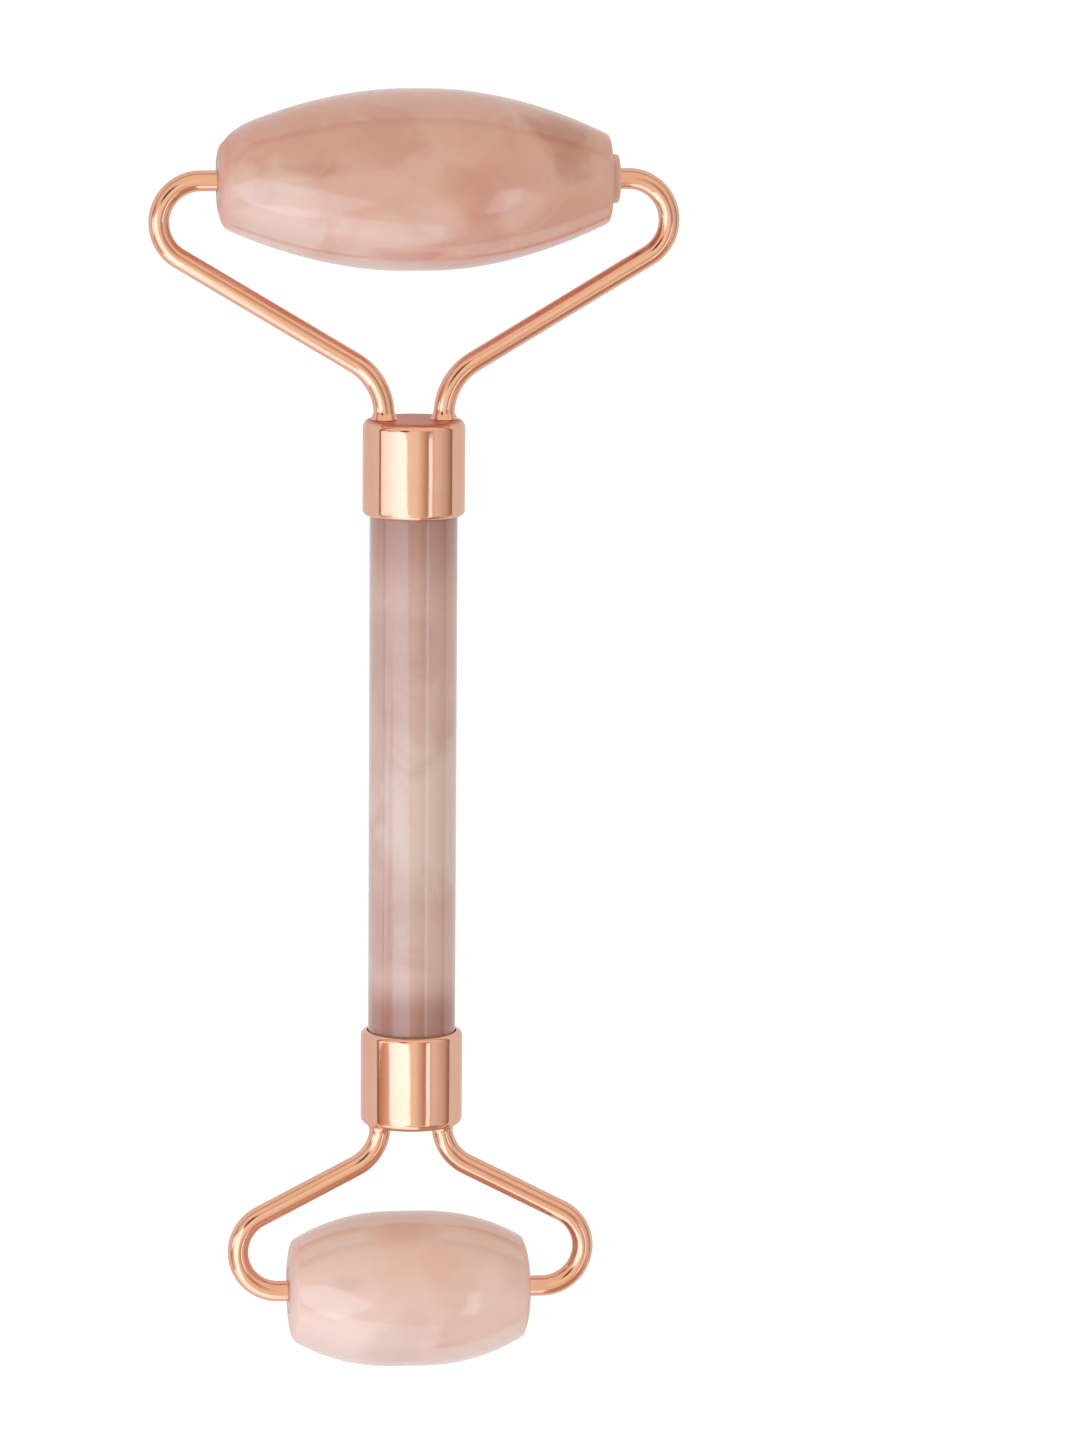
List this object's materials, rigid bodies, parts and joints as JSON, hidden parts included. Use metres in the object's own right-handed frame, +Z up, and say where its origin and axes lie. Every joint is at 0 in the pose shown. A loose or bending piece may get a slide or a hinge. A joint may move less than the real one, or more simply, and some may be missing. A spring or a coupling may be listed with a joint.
{
  "type": "face roller",
  "caption": "Double-ended face massage roller: a round stone handle with metal ferrules and wire forks that hold a large and a small barrel-shaped stone roller.",
  "frame": {"origin": "middle of the footprint, on the surface that the two rollers rest on", "axes": "+X along both roller axes, +Y along the handle towards the large roller, +Z up, away from the surface"},
  "size_m": [0.06, 0.1468, 0.0206],
  "materials": {
    "quartz_rod": "polished translucent rose quartz, dusty pink",
    "quartz_roller": "polished translucent rose quartz with cloudy patches",
    "rose_gold": "mirror-polished rose-gold plating",
    "rose_gold_wire": "mirror-polished rose-gold plating",
    "sleeve": "natural nylon, slightly translucent",
    "adhesive": "set clear epoxy"
  },
  "bodies": {
    "handle": {"handle_rod": "quartz_rod", "upper_ferrule": "rose_gold", "lower_ferrule": "rose_gold", "upper_glue_plug": "adhesive", "lower_glue_plug": "adhesive", "upper_left_arm": "rose_gold_wire", "upper_right_arm": "rose_gold_wire", "lower_left_arm": "rose_gold_wire", "lower_right_arm": "rose_gold_wire"},
    "large_roller": {"large_roller": "quartz_roller", "large_left_bush": "sleeve", "large_right_bush": "sleeve"},
    "small_roller": {"small_roller": "quartz_roller", "small_left_bush": "sleeve", "small_right_bush": "sleeve"}
  },
  "joints": [
    {"name": "large_roller_spin", "type": "hinge", "parent": "handle", "child": "large_roller", "pos_m": [0, 0.06312, 0.01028], "axis": [1, 0, 0], "continuous": true},
    {"name": "small_roller_spin", "type": "hinge", "parent": "handle", "child": "small_roller", "pos_m": [0, -0.06447, 0.00893], "axis": [1, 0, 0], "continuous": true}
  ]
}
